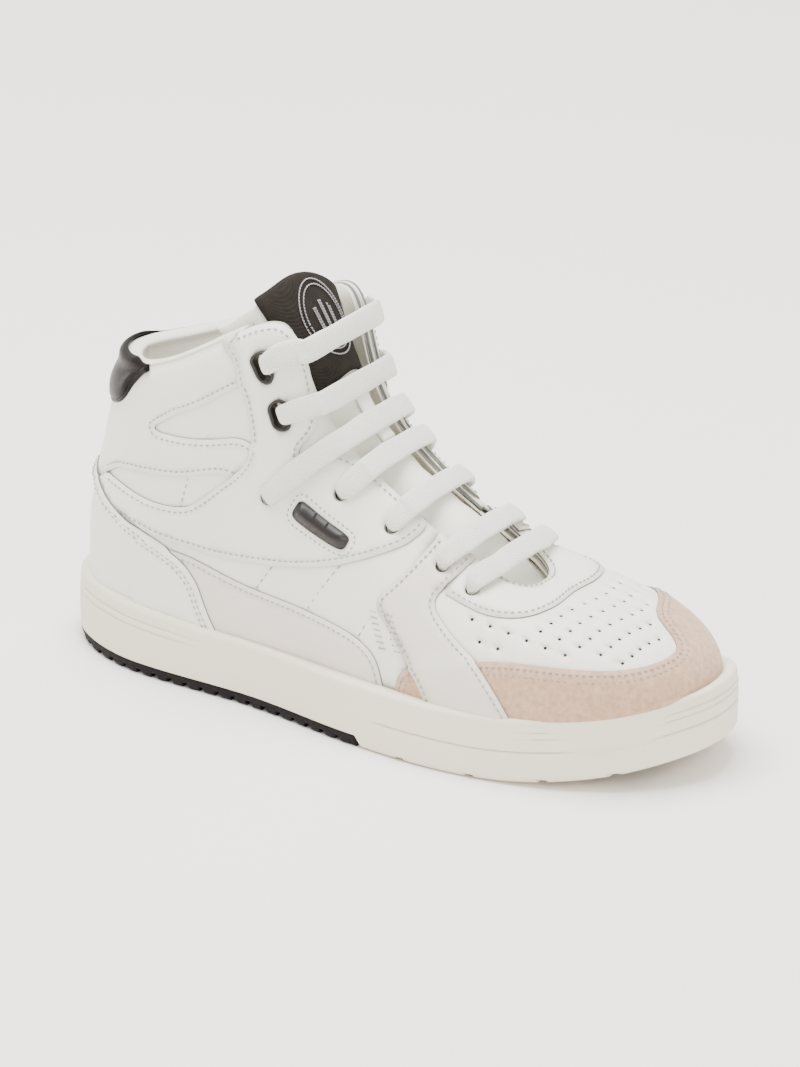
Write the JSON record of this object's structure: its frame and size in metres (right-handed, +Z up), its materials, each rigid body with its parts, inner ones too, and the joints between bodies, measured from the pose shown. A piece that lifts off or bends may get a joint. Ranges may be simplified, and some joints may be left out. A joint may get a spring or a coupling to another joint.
{
  "type": "basketball high top",
  "caption": "Right-foot high-top basketball shoe: stitched leather panels on a cup sole, padded collar and tongue, flat lace through punched holes and metal eyelets, toothed heel rubber.",
  "frame": {"origin": "on the ground, under the middle of the sole's bounding box", "axes": "+X toward the toe, +Y toward the inner side of the foot, +Z up"},
  "size_m": [0.3, 0.1082, 0.1738],
  "materials": {
    "white_leather": "smooth, fine grain",
    "offwhite_leather": "smooth, fine grain",
    "tongue_leather": "soft padded, fine grain",
    "suede": "napped suede",
    "black_patent": "glossy",
    "cream_lining": "soft brushed",
    "foam": "open-cell foam",
    "fibre_board": "pressed fibre",
    "sole_rubber": "smooth matte",
    "black_rubber": "matte",
    "black_metal": "gloss black",
    "lace_weave": "flat braided cotton",
    "label_weave": "matte woven"
  },
  "bodies": {
    "shoe": {"vamp": "white_leather", "quarter_outer": "white_leather", "quarter_inner": "white_leather", "throat_crescent": "white_leather", "collar_panel": "white_leather", "heel_counter": "white_leather", "ankle_overlay_outer": "white_leather", "ankle_overlay_inner": "white_leather", "foxing_outer": "offwhite_leather", "foxing_inner": "offwhite_leather", "forefoot_stripe_outer": "offwhite_leather", "forefoot_stripe_inner": "offwhite_leather", "tongue_lower": "tongue_leather", "toe_cap": "suede", "heel_tab": "black_patent", "vamp_lining": "cream_lining", "collar_lining": "cream_lining", "heel_lining": "cream_lining", "side_lining_outer": "cream_lining", "side_lining_inner": "cream_lining", "footbed": "cream_lining", "quarter_foam_outer": "foam", "quarter_foam_inner": "foam", "collar_foam": "foam", "midsole_foam": "foam", "toe_puff": "fibre_board", "heel_stiffener": "fibre_board", "strobel_board": "fibre_board", "cupsole": "sole_rubber", "heel_outsole": "black_rubber", "forefoot_tread": "black_rubber", "side_badge": "black_metal", "eyelet_outer_1": "black_metal", "eyelet_outer_2": "black_metal", "eyelet_inner_1": "black_metal", "eyelet_inner_2": "black_metal", "lace": "lace_weave"},
    "tongue_top": {"tongue_upper": "tongue_leather", "tongue_label": "label_weave", "lace_keeper": "tongue_leather"}
  },
  "joints": [
    {"name": "tongue_fold", "type": "hinge", "parent": "shoe", "child": "tongue_top", "pos_m": [-0.00183, 0, 0.08547], "axis": [0, -1, 0], "range_deg": [0, 15], "stiffness_Nm_per_rad": 0.6}
  ]
}
